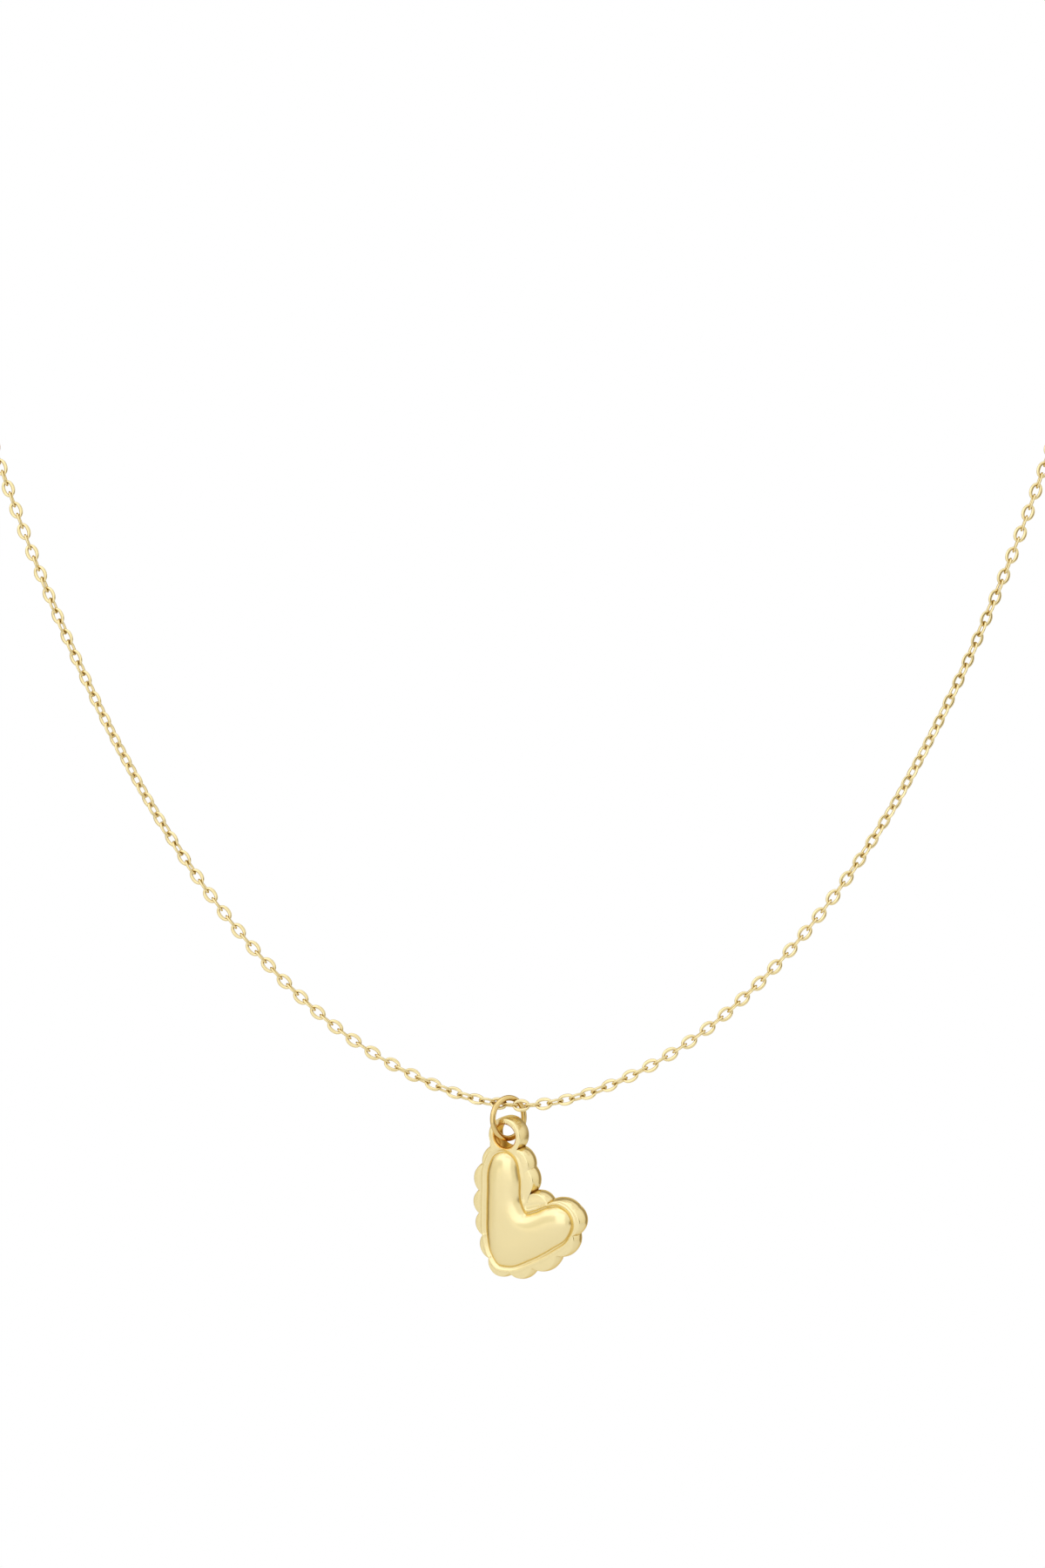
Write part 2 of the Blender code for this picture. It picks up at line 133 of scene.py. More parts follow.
def route_table():
    """Distance along the loop from its lowest point, and the place there, from left to right."""
    left = [(-x, z) for x, z in reversed(HALF_ROUTE[1:])]
    places = smooth(left + HALF_ROUTE, ROUTE_STEPS)
    lengths = np.concatenate(([0.0], np.cumsum(np.linalg.norm(np.diff(places, axis=0), axis=1))))
    return lengths - lengths[len(places) // 2], places


ROUTE_S, ROUTE_AT = route_table()


def on_route(s):
    """Place on the loop's centreline at distance s from its lowest point."""
    x = np.interp(s, ROUTE_S, ROUTE_AT[:, 0])
    z = np.interp(s, ROUTE_S, ROUTE_AT[:, 1])
    return Vector((x, 0.0, z - LOOP_HEIGHT))


def turned(degrees, axis):
    """Rotation about one axis."""
    return Matrix.Rotation(math.radians(degrees), 4, axis)


def link_matrix(s, turn):
    """Placing matrix of a link at distance s, turned about the chain by turn degrees."""
    ahead = (on_route(s + 0.3) - on_route(s - 0.3)).normalized()
    side = Vector((0.0, 1.0, 0.0))
    axes = Matrix((ahead, side, ahead.cross(side))).transposed().to_4x4()
    return Matrix.Translation(on_route(s)) @ axes @ turned(turn, "X")


# ---------------------------------------------------------------- materials

SPECULAR_TINT = (0.82, 0.66, 0.36, 1.0)
HOLLOW_SAMPLES = 12
# Openness below which the colour is all painted shade, and above which there is none of it.
FULL_SHADE_BELOW, NO_SHADE_ABOVE = 0.08, 0.74
CLOUD_SCALE, CLOUD_TINT = 180.0, (1.0, 0.975, 0.92, 1.0)
WEAR_SCALE, WEAR_SMOOTHEST, WEAR_ROUGHEST = 900.0, 0.75, 1.3


def add(tree, kind, **inputs):
    """A shader node with some of its sockets set; underscores stand for spaces."""
    node = tree.nodes.new(kind)
    for name, value in inputs.items():
        node.inputs[name.replace("_", " ")].default_value = value
    return node


def metal(name, colour, shade_colour, rough, grain, grain_height, shade_reach):
    """Polished or satin metal: painted shade, a deeper colour, in crevices, uneven polish and a
    fine surface grain.

    The grain is a scale and a height in millimetres, and shade_reach is how far the painted shade
    in a crevice reaches.
    """
    material = bpy.data.materials.new(name)
    material.use_nodes = True
    tree = material.node_tree
    shader = tree.nodes["Principled BSDF"]
    shader.inputs["Metallic"].default_value = 1.0
    shader.inputs["Specular Tint"].default_value = SPECULAR_TINT
    place = tree.nodes.new("ShaderNodeTexCoord")

    # Painted shade: the colour darkens towards shade_colour where the ambient occlusion finds a
    # crevice.
    hollow = add(tree, "ShaderNodeAmbientOcclusion", Distance=shade_reach * MM)
    hollow.samples = HOLLOW_SAMPLES
    depth = tree.nodes.new("ShaderNodeMapRange")
    depth.inputs["From Min"].default_value = FULL_SHADE_BELOW
    depth.inputs["From Max"].default_value = NO_SHADE_ABOVE
    tree.links.new(hollow.outputs["AO"], depth.inputs["Value"])
    cloud = add(tree, "ShaderNodeTexNoise", Scale=CLOUD_SCALE, Detail=3.0)
    tree.links.new(place.outputs["Object"], cloud.inputs["Vector"])
    shade = tree.nodes.new("ShaderNodeMixRGB")
    shade.inputs["Color1"].default_value = (*shade_colour, 1.0)
    shade.inputs["Color2"].default_value = (*colour, 1.0)
    tree.links.new(depth.outputs["Result"], shade.inputs["Fac"])
    warm = tree.nodes.new("ShaderNodeMixRGB")
    warm.blend_type = "MULTIPLY"
    warm.inputs["Color2"].default_value = CLOUD_TINT
    tree.links.new(cloud.outputs["Fac"], warm.inputs["Fac"])
    tree.links.new(shade.outputs["Color"], warm.inputs["Color1"])
    tree.links.new(warm.outputs["Color"], shader.inputs["Base Color"])

    wear = add(tree, "ShaderNodeTexNoise", Scale=WEAR_SCALE, Detail=4.0)
    tree.links.new(place.outputs["Object"], wear.inputs["Vector"])
    polish = tree.nodes.new("ShaderNodeMapRange")
    polish.inputs["To Min"].default_value = rough * WEAR_SMOOTHEST
    polish.inputs["To Max"].default_value = rough * WEAR_ROUGHEST
    tree.links.new(wear.outputs["Fac"], polish.inputs["Value"])
    tree.links.new(polish.outputs["Result"], shader.inputs["Roughness"])

    texture = add(tree, "ShaderNodeTexNoise", Scale=grain, Detail=2.0)
    tree.links.new(place.outputs["Object"], texture.inputs["Vector"])
    bump = add(tree, "ShaderNodeBump", Distance=grain_height * MM)
    tree.links.new(texture.outputs["Fac"], bump.inputs["Height"])
    tree.links.new(bump.outputs["Normal"], shader.inputs["Normal"])
    return material


PALE = (0.89, 0.76, 0.41)
# Colour of the painted shade in the metals' crevices.
PAINTED_SHADE = (0.36, 0.18, 0.03)
# Each metal's second colour is its painted shade in crevices, and its last figure is how far that
# shade reaches in millimetres.
CHAIN_GOLD = metal("chain_gold", (0.84, 0.71, 0.38), (0.30, 0.14, 0.02), 0.09, 5000.0, 0.001, 0.9)
PENDANT_GOLD = metal("pendant_gold", PALE, PAINTED_SHADE, 0.22, 7000.0, 0.002, 1.1)
RING_GOLD = metal("ring_gold", (0.76, 0.57, 0.24), PAINTED_SHADE, 0.10, 5000.0, 0.002, 0.8)
CLASP_GOLD = metal("clasp_gold", (0.86, 0.73, 0.40), PAINTED_SHADE, 0.14, 5000.0, 0.001, 0.6)
# The eye hole's wall is a darker, more orange gold: painted shade with a warm painted reflection.
HOLE_SHADE_GOLD = metal("hole_painted_shade", (0.80, 0.48, 0.12), (0.24, 0.10, 0.015), 0.2, 5000.0, 0.002, 1.8)
BACK_GOLD = metal("back_gold", PALE, PAINTED_SHADE, 0.34, 2600.0, 0.018, 1.1)
STEEL = metal("spring_steel", (0.62, 0.61, 0.58), (0.25, 0.24, 0.22), 0.3, 6000.0, 0.003, 0.3)


# ---------------------------------------------------------------- pieces


def oval(length, width, wire, steps, sides, flattened=0.0):
    """Points and faces of an oval of wire, long in X, in the XZ plane.

    Flattened wire is thinner across the oval's plane, and broader along the oval's long sides.
    """
    a = np.arange(steps) * 2 * math.pi / steps
    b = np.arange(sides) * 2 * math.pi / sides
    long, wide = (length - wire) / 2, (width - wire) / 2
    centre = np.stack((long * np.cos(a), np.zeros(steps), wide * np.sin(a)), axis=1)
    out = np.stack((wide * np.cos(a), np.zeros(steps), long * np.sin(a)), axis=1)
    out /= np.linalg.norm(out, axis=1, keepdims=True)
    side = np.array((0.0, 1.0, 0.0))
    broad = 1 + flattened * np.sin(a) ** 2
    centre -= (broad - 1)[:, None] * wire / 2 * out
    spread = ((broad[:, None] * np.cos(b))[:, :, None] * out[:, None, :]
              + ((1 - flattened) * np.sin(b))[None, :, None] * side[None, None, :])
    points = (centre[:, None, :] + wire / 2 * spread).reshape(-1, 3)
    faces = []
    for i in range(steps):
        for j in range(sides):
            k, m = (i + 1) % steps, (j + 1) % sides
            faces.append((i * sides + j, i * sides + m, k * sides + m, k * sides + j))
    return points, faces


def placed(shape, matrices):
    """One set of points and faces with the shape at every placing matrix."""
    points, faces = shape
    all_points, all_faces = [], []
    for number, matrix in enumerate(matrices):
        m = np.array(matrix)
        all_points.append(points @ m[:3, :3].T + m[:3, 3])
        offset = number * len(points)
        all_faces += [tuple(offset + v for v in face) for face in faces]
    return np.concatenate(all_points), all_faces


def smooth_mesh(name, points, faces):
    """A smooth-shaded mesh from points in millimetres, with its faces turned outwards."""
    mesh = bpy.data.meshes.new(name)
    mesh.from_pydata((np.array(points) * MM).tolist(), [], faces)
    shape = bmesh.new()
    shape.from_mesh(mesh)
    bmesh.ops.recalc_face_normals(shape, faces=shape.faces)
    shape.to_mesh(mesh)
    shape.free()
    mesh.polygons.foreach_set("use_smooth", [True] * len(mesh.polygons))
    return mesh


def piece(name, points, faces, material, body, nodes):
    """A smooth mesh piece that rides on a body and stands for CAD nodes."""
    mesh = smooth_mesh(name, points, faces)
    mesh.materials.append(material)
    thing = bpy.data.objects.new(name, mesh)
    bpy.context.scene.collection.objects.link(thing)
    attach(thing, body)
    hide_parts(*nodes)
    return thing


# ---------------------------------------------------------------- chain

LINK_SHAPE = oval(LINK_LENGTH, LINK_WIDTH, LINK_WIRE, LINK_STEPS, LINK_SIDES, LINK_FLATTENED)


def chain_turn(distance):
    """How far the chain has turned about itself at a distance from its middle."""
    distances, turns = zip(*TWIST)
    return np.interp(distance, distances, turns)


def link_place(index):
    """Placing matrix of a numbered link. The sign of the index is the side of the necklace."""
    s = LINK_SHIFT + index * LINK_PITCH
    if index in CENTRE_LINKS:
        twist = CENTRE_TWISTS[index - CENTRE_LINKS[0]]
    else:
        twist = chain_turn(abs(s))
    return link_matrix(s, twist + 90.0 * (index % 2))


def links(name, places, body, nodes):
    """One stretch of links at their placing matrices."""
    points, faces = placed(LINK_SHAPE, places)
    piece(name, points, faces, CHAIN_GOLD, body, nodes)


def chain():
    """Every link of the loop, as one piece for each body and side."""
    nodes = [f"centre_link_{n}" for n in range(1, len(CENTRE_LINKS) + 1)]
    links("centre_links", [link_place(i) for i in CENTRE_LINKS], "front_chain", nodes)
    for side, sign in (("left", -1), ("right", 1)):
        for name, (first, last) in STRETCHES.items():
            if name == "front":
                first = 1 + (-CENTRE_LINKS[0] if side == "left" else CENTRE_LINKS[-1])
            nodes = [f"{side}_{name}_chain", f"{side}_link_{last}"]
            if name != "front":
                nodes.append(f"{side}_link_{first}")
            places = [link_place(sign * n) for n in range(first, last + 1)]
            links(f"{side}_{name}_links", places, f"{name}_chain", nodes)
        start = abs(LINK_SHIFT + sign * FIRST_BACK_LINK * LINK_PITCH)
        end = ROUTE_S[-1] - abs(CLASP_X + END_LINK_P[side])
        places = []
        for n, s in enumerate(np.linspace(start, end, BACK_PITCHES + 1)):
            places.append(link_matrix(sign * s, chain_turn(s) + 90.0 * (n % 2)))
        nodes = [f"{side}_back_chain", f"{side}_link_{FIRST_BACK_LINK}", f"{side}_end_link"]
        links(f"{side}_back_links", places, "nape_chain", nodes)


# ---------------------------------------------------------------- ring

RING_STEPS, RING_SIDES = 96, 24


def jump_ring():
    """The round ring that carries the pendant."""
    shape = oval(RING_DIAMETER, RING_DIAMETER, RING_WIRE, RING_STEPS, RING_SIDES)
    place = Matrix.Translation((RING_X, 0.0, -LOOP_HEIGHT - RING_DROP)) @ turned(RING_YAW, "Z")
    points, faces = placed(shape, [place])
    piece("round_ring", points, faces, RING_GOLD, "hanging_ring", ["jump_ring"])


# ---------------------------------------------------------------- pendant

ARC_STEPS = 30
HEART_STEPS = 16
EYE_STEPS = 76
DOME_RINGS = 32
DOME_FOOT, DOME_RISE, DOME_SHOULDER = -0.19, 0.96, 2.3
# Way from the heart's foot to the fine line round it, and its cap as a share of that to the edge.
LINE_OFFSET, LINE_CAP = 0.62, 0.8
FACE_DROP = 0.05  # the scallops lie this far behind the eye's face
WALL_MARGIN = 0.18  # the side wall keeps this far from the back and the front
SIDE_STEPS, SIDE_BULGE, SCALLOP_BULGE = 10, 0.05, 0.13
SHARP_EDGE = 38.0
NEAR_OUTLINE = 0.08  # nearer than this the exact distance is taken
OUTLINE_PARTS = 4
HOLE_STEPS = 64
HOLE_SLOT, BACK_SLOT = 1, 2
FACING_BACK = 0.98
EYE_FROM, EYE_TO = -44.0, 196.0


def arc(start_point, end_point, bulge, steps):
    """Points from one cusp to just before the next, on a round arc to the right of the chord."""
    start_point, end_point = Vector(start_point), Vector(end_point)
    chord = end_point - start_point
    outward = Vector((chord.y, -chord.x))
    half_angle = 2 * math.atan(2 * bulge)
    points = []
    for f in np.arange(steps) / steps:
        lean = half_angle * (2 * f - 1)
        along = (math.sin(lean) / math.sin(half_angle) + 1) / 2
        rise = (math.cos(lean) - math.cos(half_angle)) / (2 * math.sin(half_angle))
        points.append(start_point + chord * along + outward * rise)
    return points


def edge_outline():
    """The pendant's edge with the eye's rim, and each point's count of cusps."""
    cusps = [cusp for cusp, _ in SCALLOPS]
    points, turns = [], []
    for degrees in np.linspace(EYE_FROM, EYE_TO, EYE_STEPS):
        a = math.radians(degrees)
        points.append((EYE_RADIUS * math.cos(a), EYE_RADIUS * math.sin(a)))
    low = np.array(points[-1])
    for share in (0.33, 0.66):
        points.append(tuple(low + share * (np.array(cusps[0]) - low)))
    turns += list(np.arange(len(points)) / len(points) - 1.0)
    for number, (cusp, bulge) in enumerate(SCALLOPS[1:], start=1):
        points += arc(cusps[number - 1], cusp, bulge, ARC_STEPS)
        turns += list(number - 1 + np.arange(ARC_STEPS) / ARC_STEPS)
    return np.array([tuple(p) for p in points]), np.array(turns)


def beside(outline, turns):
    """Points of another closed outline (u, v, count of cusps) beside the given counts."""
    count = len(SCALLOPS)
    laps = [(u, v, turn + count * lap) for lap in (-1, 0, 1) for u, v, turn in outline]
    curve = smooth(laps, HEART_STEPS)
    return np.stack([np.interp(turns, curve[:, 2], curve[:, axis]) for axis in (0, 1)], axis=1)


def inset(outline, amount):
    """The outline moved inwards by an amount."""
    ahead = np.roll(outline, -1, axis=0) - np.roll(outline, 1, axis=0)
    ahead /= np.linalg.norm(ahead, axis=1, keepdims=True)
    inwards = np.stack((-ahead[:, 1], ahead[:, 0]), axis=1)
    return outline + np.reshape(amount, (-1, 1)) * inwards


def towards(start, end, amount, cap):
    """Points moved from start towards end by an amount, at most a capped share of the way."""
    way = end - start
    share = np.minimum(amount / np.maximum(np.linalg.norm(way, axis=1), 1e-6), cap)
    return start + share[:, None] * way


def distance_to(points, outline):
    """Distance of each point from a closed outline."""
    ends = np.roll(outline, -1, axis=0)
    way = ends - outline
    share = ((points[:, None, :] - outline[None]) * way[None]).sum(2) / (way ** 2).sum(1)[None]
    nearest = outline[None] + share.clip(0, 1)[:, :, None] * way[None]
    return np.linalg.norm(points[:, None, :] - nearest, axis=2).min(axis=1)


def pendant_rings():
    """Rings of (outline, heights) from the back, round the edge and up to the dome's top."""
    edge, turns = edge_outline()
    count = len(edge)
    flat = np.zeros(count)
    foot = beside(HEART, turns)
    line = towards(foot, edge, LINE_OFFSET, LINE_CAP)
    scalloped = np.clip(np.minimum(turns, len(SCALLOPS) - 1 - turns) / 0.3, 0, 1)
    rings = []

    # Back and side wall.
    for amount, rise in ((0.30, 0.0), (0.14, 0.02), (0.06, 0.07), (0.0, WALL_MARGIN)):
        rings.append((inset(edge, amount), flat - PENDANT_THICK + rise))
    for share in np.arange(1, SIDE_STEPS) / SIDE_STEPS:
        bulge = (SIDE_BULGE + SCALLOP_BULGE * scalloped) * math.sin(math.pi * share)
        height = -PENDANT_THICK + WALL_MARGIN + share * (PENDANT_THICK - 2 * WALL_MARGIN)
        rings.append((inset(edge, -bulge), flat + height))
    # Front bevel and the scallops' faces, up to the fine line.
    for amount, drop, cap in ((0.0, 0.16, 0.0), (0.03, 0.07, 0.18), (0.08, 0.025, 0.36),
                              (0.15, 0.0, 0.54)):
        rings.append((towards(edge, line, amount, cap), flat - drop - FACE_DROP * scalloped))
    rings.append((edge + 0.72 * (line - edge), flat - FACE_DROP * scalloped))
    rings.append((line, flat - FACE_DROP * scalloped))
    # Step at the fine line, flat rim and moat.
    for amount, drop, cap in ((0.025, 0.035, 0.05), (0.06, 0.005, 0.1), (0.11, 0.0, 0.16)):
        rings.append((towards(line, foot, amount, cap), flat - drop * scalloped))
    for amount, drop, cap in ((0.46, 0.0, 0.76), (0.38, 0.02, 0.62), (0.30, 0.06, 0.48),
                              (0.22, 0.11, 0.36), (0.14, 0.155, 0.24), (0.07, 0.18, 0.12)):
        rings.append((towards(foot, line, amount, cap), flat - drop))

    centre = np.array(DOME_CENTRE)
    for share in 1 - (np.arange(DOME_RINGS) / DOME_RINGS) ** 1.5:
        points = centre + share * (foot - centre)
        rings.append((points, dome_height(points, foot)))
    return rings


def soft_distance(points, outline):
    """Distance from a closed outline, rounded where two of its sides are about as near."""
    ends = np.roll(outline, -1, axis=0)
    fine = np.concatenate([outline + share * (ends - outline)
                           for share in np.arange(OUTLINE_PARTS) / OUTLINE_PARTS])
    step = np.tile(np.linalg.norm(ends - outline, axis=1) / OUTLINE_PARTS, OUTLINE_PARTS)
    squares = ((points[:, None, :] - fine[None]) ** 2).sum(axis=2)
    spread = (step / np.maximum(squares, 1e-8) ** 2).sum(axis=1) * 2 / math.pi
    exact = distance_to(points, outline)
    return np.where(exact < NEAR_OUTLINE, exact, spread ** (-1 / 3))


def dome_height(points, foot):
    """Height of the puffed heart above the plate: a round shoulder and a nearly flat top."""
    shoulder = np.clip(soft_distance(points, foot) / DOME_SHOULDER, 0, 1)
    return DOME_FOOT + DOME_RISE * (1 - (1 - shoulder) ** 2.5) ** 0.82


def hole_shape():
    """Points and faces of the eye's hole as a round tool with flared ends, about the Y axis."""
    steps = HOLE_STEPS
    profile = [(EYE_HOLE + 0.9, -1.0), (EYE_HOLE + 0.32, -0.06), (EYE_HOLE + 0.2, 0.0),
               (EYE_HOLE + 0.11, 0.05), (EYE_HOLE + 0.04, 0.13), (EYE_HOLE, 0.24)]
    profile += [(r, PENDANT_THICK - y) for r, y in reversed(profile)]
    points, faces = [], []
    for radius, depth in profile:
        for a in np.arange(steps) * 2 * math.pi / steps:
            points.append((radius * math.cos(a), depth, radius * math.sin(a)))
    for row in range(len(profile) - 1):
        for i in range(steps):
            j = (i + 1) % steps
            faces.append((row * steps + i, row * steps + j,
                          (row + 1) * steps + j, (row + 1) * steps + i))
    faces.append(tuple(range(steps - 1, -1, -1)))
    faces.append(tuple(range((len(profile) - 1) * steps, len(profile) * steps)))
    return points, faces


def heart_shape():
    """Points and faces of the pendant, all but the hole in its eye, front towards -Y."""
    rings = pendant_rings()
    count = len(rings[0][0])
    points, faces = [], []
    for outline, heights in rings:
        points += [(u, -h, v) for (u, v), h in zip(outline, heights)]
    for row in range(len(rings) - 1):
        for i in range(count):
            j = (i + 1) % count
            faces.append((row * count + i, row * count + j,
                          (row + 1) * count + j, (row + 1) * count + i))
    faces.append(tuple(range(count - 1, -1, -1)))
    top = len(points)
    foot = beside(HEART, edge_outline()[1])
    crown = dome_height(np.array([DOME_CENTRE]), foot)[0]
    points.append((DOME_CENTRE[0], -crown, DOME_CENTRE[1]))
    last = (len(rings) - 1) * count
    faces += [(last + i, last + (i + 1) % count, top) for i in range(count)]
    return np.array(points), faces


def cut_eye(pendant, place):
    """Cut the eye's hole, whose wall takes the pendant's second material, a gold darkened as
    painted shade.
    """
    points, faces = hole_shape()
    tool_points, tool_faces = placed((np.array(points), faces), [place])
    tool = bpy.data.objects.new("eye_hole", smooth_mesh("eye_hole", tool_points, tool_faces))
    tool.data.polygons.foreach_set("material_index", [HOLE_SLOT] * len(tool_faces))
    bpy.context.scene.collection.objects.link(tool)
    cut = pendant.modifiers.new("eye_hole", "BOOLEAN")
    cut.operation = "DIFFERENCE"
    cut.solver = "EXACT"
    cut.object = tool
    evaluated = pendant.evaluated_get(bpy.context.evaluated_depsgraph_get())
    mesh = bpy.data.meshes.new_from_object(evaluated)
    pendant.modifiers.clear()
    pendant.data = mesh
    bpy.data.objects.remove(tool, do_unlink=True)


def heart_pendant():
    """The cast pendant, with a hole darkened by painted shade and a satin back."""
    x, y, z = PENDANT_AT
    place = (Matrix.Translation((x, y, z - LOOP_HEIGHT)) @ turned(PENDANT_YAW, "Z")
             @ turned(PENDANT_LEAN, "X"))
    points, faces = placed(heart_shape(), [place])
    pendant = piece("puffed_heart", points, faces, PENDANT_GOLD, "pendant",
                    ["heart_pendant"])
    pendant.data.materials.append(HOLE_SHADE_GOLD)
    cut_eye(pendant, place)
    mesh = pendant.data
    mesh.materials.append(BACK_GOLD)
    behind = place.to_3x3() @ Vector((0.0, 1.0, 0.0))
    for face in mesh.polygons:
        if face.normal.dot(behind) > FACING_BACK:
            face.material_index = BACK_SLOT
    mesh.set_sharp_from_angle(angle=math.radians(SHARP_EDGE))
    normals = pendant.modifiers.new("normals", "WEIGHTED_NORMAL")
    normals.keep_sharp = True


# ---------------------------------------------------------------- closure

# The claw is crowned across its middle line, which runs round its window, and along its tail.
WINDOW_P, CLAW_MIDDLE, CLAW_HALF_WIDTH = 1.35, 2.0, 0.85
TAIL_P, TAIL_BLEND = -1.0, 0.8
SLOT_HALF_WIDTH, CROWN = 0.45, 0.75
HOOK_Q, HOOK_BLEND, HOOK_EASE = -0.5, 0.4, 0.14
CAST_VOXEL = 0.06
CLAW_SMOOTHING, CLAW_SLACK = 8, 0.01
TRIGGER_SMOOTHING, TRIGGER_SLACK = 8, 0.05
LOOP_STEPS, LOOP_SIDES = 64, 18


def crowned(points):
    """The claw's points with its flat faces rounded off, and room for the trigger in its hook."""
    p, depth, q = (points[:, 0] / MM - CLASP_X, points[:, 1] / MM, points[:, 2] / MM)
    from_window = np.hypot(p - WINDOW_P, q)
    across = np.clip((from_window - CLAW_MIDDLE) / CLAW_HALF_WIDTH, -1, 1)
    tail = np.clip((TAIL_P - p) / TAIL_BLEND, 0, 1)
    across = (1 - tail) * across + tail * np.clip(q / CLAW_HALF_WIDTH, -1, 1)
    raised = np.maximum(np.abs(depth) - SLOT_HALF_WIDTH, 0) * CROWN * across ** 2
    hook = np.clip((HOOK_Q - q) / HOOK_BLEND, 0, 1) * np.clip((p - WINDOW_P) / HOOK_BLEND - 1, 0, 1)
    eased = HOOK_EASE * hook * np.clip((CLAW_MIDDLE - from_window) / HOOK_BLEND, 0, 1)
    away = np.stack(((p - WINDOW_P) * eased / from_window, -np.sign(depth) * raised,
                     q * eased / from_window), axis=1)
    return points + away * MM


def cast_copy(name, node, body, smoothing, slack, crown=None):
    """A CAD node's shape with softly rounded edges, as a polished casting has."""
    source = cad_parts[node]
    mesh = source.data.copy()
    mesh.name = name
    mesh.transform(source.matrix_world)
    thing = bpy.data.objects.new(name, mesh)
    bpy.context.scene.collection.objects.link(thing)
    remesh = thing.modifiers.new("even", "REMESH")
    remesh.mode = "VOXEL"
    remesh.voxel_size = CAST_VOXEL * MM
    evaluated = thing.evaluated_get(bpy.context.evaluated_depsgraph_get())
    mesh = bpy.data.meshes.new_from_object(evaluated)
    thing.modifiers.clear()
    thing.data = mesh
    if crown:
        points = np.empty(3 * len(mesh.vertices))
        mesh.vertices.foreach_get("co", points)
        mesh.vertices.foreach_set("co", crown(points.reshape(-1, 3)).ravel())
    soften = thing.modifiers.new("soften", "SMOOTH")
    soften.factor = 0.5
    soften.iterations = smoothing
    slim = thing.modifiers.new("slack", "DISPLACE")
    slim.strength = -slack * MM
    slim.mid_level = 0.0
    mesh.polygons.foreach_set("use_smooth", [True] * len(mesh.polygons))
    mesh.materials.clear()
    mesh.materials.append(CLASP_GOLD)
    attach(thing, body)
    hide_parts(node)


def closure():
    """Lobster clasp, its pin and spring, and the rings on both sides."""
    cast_copy("lobster_claw", "clasp_body", "clasp", CLAW_SMOOTHING, CLAW_SLACK, crowned)
    cast_copy("trigger", "clasp_lever", "clasp_trigger", TRIGGER_SMOOTHING, TRIGGER_SLACK)
    for name, node, p, diameter, wire in (
            ("clasp_side_ring", "clasp_ring", CLASP_RING_P, CLASP_RING_DIAMETER, CLASP_RING_WIRE),
            ("far_side_ring", "end_ring", END_RING_P, END_RING_DIAMETER, END_RING_WIRE)):
        place = Matrix.Translation((CLASP_X + p, 0.0, 0.0)) @ turned(90.0, "X")
        points, faces = placed(oval(diameter, diameter, wire, LOOP_STEPS, LOOP_SIDES), [place])
        piece(name, points, faces, CLASP_GOLD, "nape_chain", [node])
    for node in ("clasp_pin", "clasp_spring"):
        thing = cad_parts[node]
        thing.data.materials.clear()
        thing.data.materials.append(STEEL)


# ---------------------------------------------------------------- studio, in metres

LIT_POINT = Vector((0.0, 0.0, -0.14))
LAMP_DISTANCE = 0.45
LAMP_COLOUR = (0.92, 1.0, 1.30)
# Name, azimuth, elevation, size and radiance. Azimuth 0 is the camera's side, 90 right.
LAMPS = [
    ("front_left", -25, 6, (0.40, 0.56), 0.42),
    ("upper_left", -72, 32, (0.40, 0.30), 0.36),
    ("left", -62, -22, (0.18, 0.18), 0.22),
    ("top", 0, 76, (0.50, 0.42), 0.30),
]

# The studio's walls: colour by depth, from the camera's side to the far side, where a dark ring
# is, by height, from below to above, and by nearness to a dark patch low on the camera's right.
BY_DEPTH = [
    (0.0, (0.92, 0.92, 0.90)), (0.45, (0.93, 0.92, 0.88)), (0.70, (0.90, 0.86, 0.78)),
    (0.77, (0.34, 0.27, 0.17)), (0.88, (0.34, 0.27, 0.18)), (0.95, (0.84, 0.82, 0.76)),
    (1.0, (0.92, 0.90, 0.86)),
]
BY_HEIGHT = [
    (0.0, (0.84, 0.83, 0.78)), (0.4, (0.95, 0.94, 0.92)), (0.6, (1.04, 1.05, 1.08)),
    (1.0, (1.15, 1.18, 1.30)),
]
DARK_SIDE = (0.70, -0.66, -0.28)
BY_DARK_SIDE = [
    (0.955, (1.0, 1.0, 1.0)), (0.98, (0.34, 0.28, 0.18)), (1.0, (0.22, 0.17, 0.10)),
]

FLOOR_RADIUS, FLOOR_Z, FLOOR_STEPS = 0.46, -0.30, 64
FLOOR_COLOUR, FLOOR_ROUGHNESS = (0.9, 0.9, 0.89, 1.0), 0.8
CAMERA_AT = (0.0, -0.5, -0.1236)
CAMERA_LENS, CAMERA_SENSOR = 100.0, 36.0
CAMERA_CLIP = (0.01, 10.0)


def area_light(name, azimuth, elevation, size, radiance):
    """A soft rectangular lamp that faces the necklace."""
    turn, rise = math.radians(azimuth), math.radians(elevation)
    away = Vector((math.sin(turn) * math.cos(rise), -math.cos(turn) * math.cos(rise),
                   math.sin(rise)))
    lamp = bpy.data.lights.new(name, "AREA")
    lamp.shape = "RECTANGLE"
    lamp.size, lamp.size_y = size
    lamp.energy = radiance * math.pi * size[0] * size[1]
    lamp.color = LAMP_COLOUR
    thing = bpy.data.objects.new(name, lamp)
    thing.location = LIT_POINT + LAMP_DISTANCE * away
    thing.rotation_euler = (-away).to_track_quat("-Z", "Y").to_euler()
    thing.visible_camera = False
    bpy.context.scene.collection.objects.link(thing)


def sky_ramp(tree, value, stops):
    """A colour for a part of the sky, by one part of its direction from -1 to 1."""
    share = tree.nodes.new("ShaderNodeMapRange")
    share.inputs["From Min"].default_value = -1.0
    tree.links.new(value, share.inputs["Value"])
    ramp = tree.nodes.new("ShaderNodeValToRGB")
    tree.links.new(share.outputs["Result"], ramp.inputs["Fac"])
    while len(ramp.color_ramp.elements) < len(stops):
        ramp.color_ramp.elements.new(0.5)
    for element, (where, colour) in zip(ramp.color_ramp.elements, stops):
        element.position = where
        element.color = (*colour, 1.0)
    return ramp.outputs["Color"]


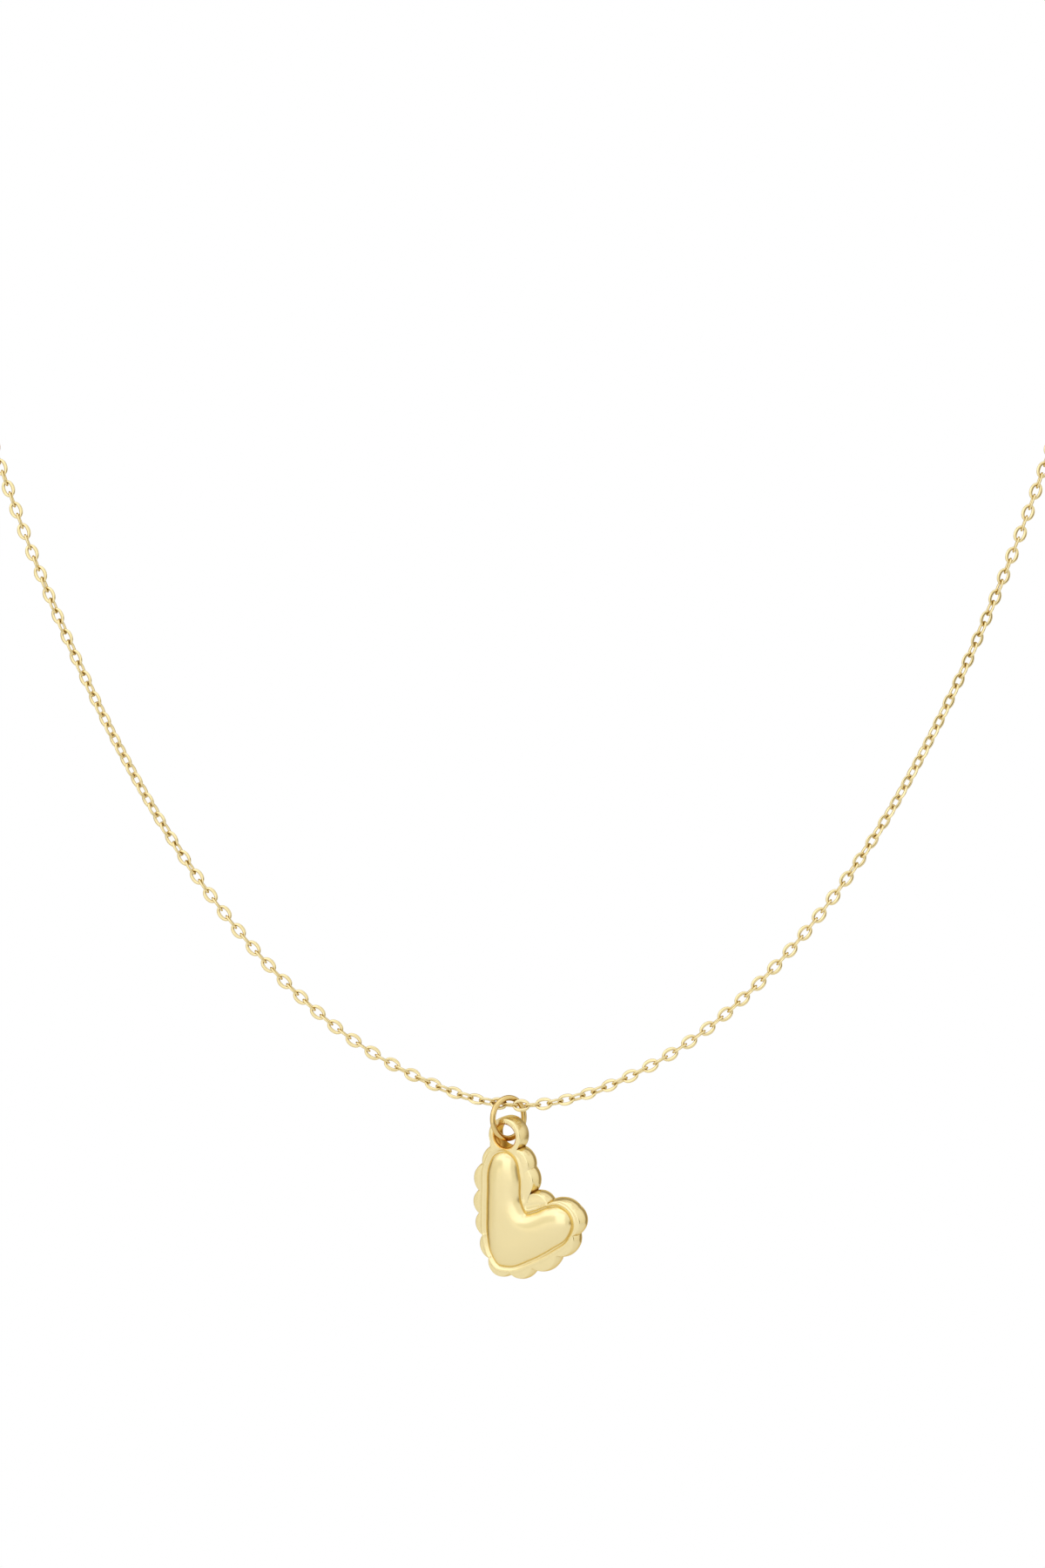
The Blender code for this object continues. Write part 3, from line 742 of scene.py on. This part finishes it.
def surroundings(scene):
    """Studio walls that the metal mirrors. The camera itself sees plain white."""
    world = bpy.data.worlds.new("studio")
    scene.world = world
    world.use_nodes = True
    tree = world.node_tree
    background = tree.nodes["Background"]
    place = tree.nodes.new("ShaderNodeTexCoord")
    split = tree.nodes.new("ShaderNodeSeparateXYZ")
    tree.links.new(place.outputs["Generated"], split.inputs["Vector"])
    facing = tree.nodes.new("ShaderNodeVectorMath")
    facing.operation = "DOT_PRODUCT"
    facing.inputs[1].default_value = Vector(DARK_SIDE).normalized()
    tree.links.new(place.outputs["Generated"], facing.inputs[0])
    colour = sky_ramp(tree, split.outputs["Y"], BY_DEPTH)
    for value, stops in ((split.outputs["Z"], BY_HEIGHT), (facing.outputs["Value"], BY_DARK_SIDE)):
        product = tree.nodes.new("ShaderNodeVectorMath")
        product.operation = "MULTIPLY"
        tree.links.new(colour, product.inputs[0])
        tree.links.new(sky_ramp(tree, value, stops), product.inputs[1])
        colour = product.outputs["Vector"]
    tree.links.new(colour, background.inputs["Color"])
    seen = tree.nodes.new("ShaderNodeBackground")
    seen.inputs["Color"].default_value = (1.0, 1.0, 1.0, 1.0)
    pick = tree.nodes.new("ShaderNodeMixShader")
    path = tree.nodes.new("ShaderNodeLightPath")
    tree.links.new(path.outputs["Is Camera Ray"], pick.inputs["Fac"])
    tree.links.new(background.outputs["Background"], pick.inputs[1])
    tree.links.new(seen.outputs["Background"], pick.inputs[2])
    tree.links.new(pick.outputs["Shader"], tree.nodes["World Output"].inputs["Surface"])


def pale_floor(scene):
    """A round floor below the necklace."""
    mesh = bpy.data.meshes.new("floor")
    ring = [(FLOOR_RADIUS * math.cos(a), FLOOR_RADIUS * math.sin(a), FLOOR_Z)
            for a in np.arange(FLOOR_STEPS) * 2 * math.pi / FLOOR_STEPS]
    mesh.from_pydata(ring, [], [tuple(range(FLOOR_STEPS))])
    paint = bpy.data.materials.new("floor")
    paint.use_nodes = True
    shader = paint.node_tree.nodes["Principled BSDF"]
    shader.inputs["Base Color"].default_value = FLOOR_COLOUR
    shader.inputs["Roughness"].default_value = FLOOR_ROUGHNESS
    mesh.materials.append(paint)
    floor = bpy.data.objects.new("floor", mesh)
    scene.collection.objects.link(floor)


def front_camera(scene):
    """The camera, straight in front of the lower half of the loop."""
    camera = bpy.data.cameras.new("camera")
    camera.lens = CAMERA_LENS
    camera.sensor_width = CAMERA_SENSOR
    camera.clip_start, camera.clip_end = CAMERA_CLIP
    holder = bpy.data.objects.new("camera", camera)
    holder.location = CAMERA_AT
    holder.rotation_euler = (math.radians(90), 0.0, 0.0)
    scene.collection.objects.link(holder)
    scene.camera = holder


def studio():
    """Pale surroundings, soft lamps, floor and camera."""
    scene = bpy.context.scene
    scene.view_settings.view_transform = "Standard"
    surroundings(scene)
    for lamp in LAMPS:
        area_light(*lamp)
    pale_floor(scene)
    front_camera(scene)


chain()
jump_ring()
heart_pendant()
closure()
studio()
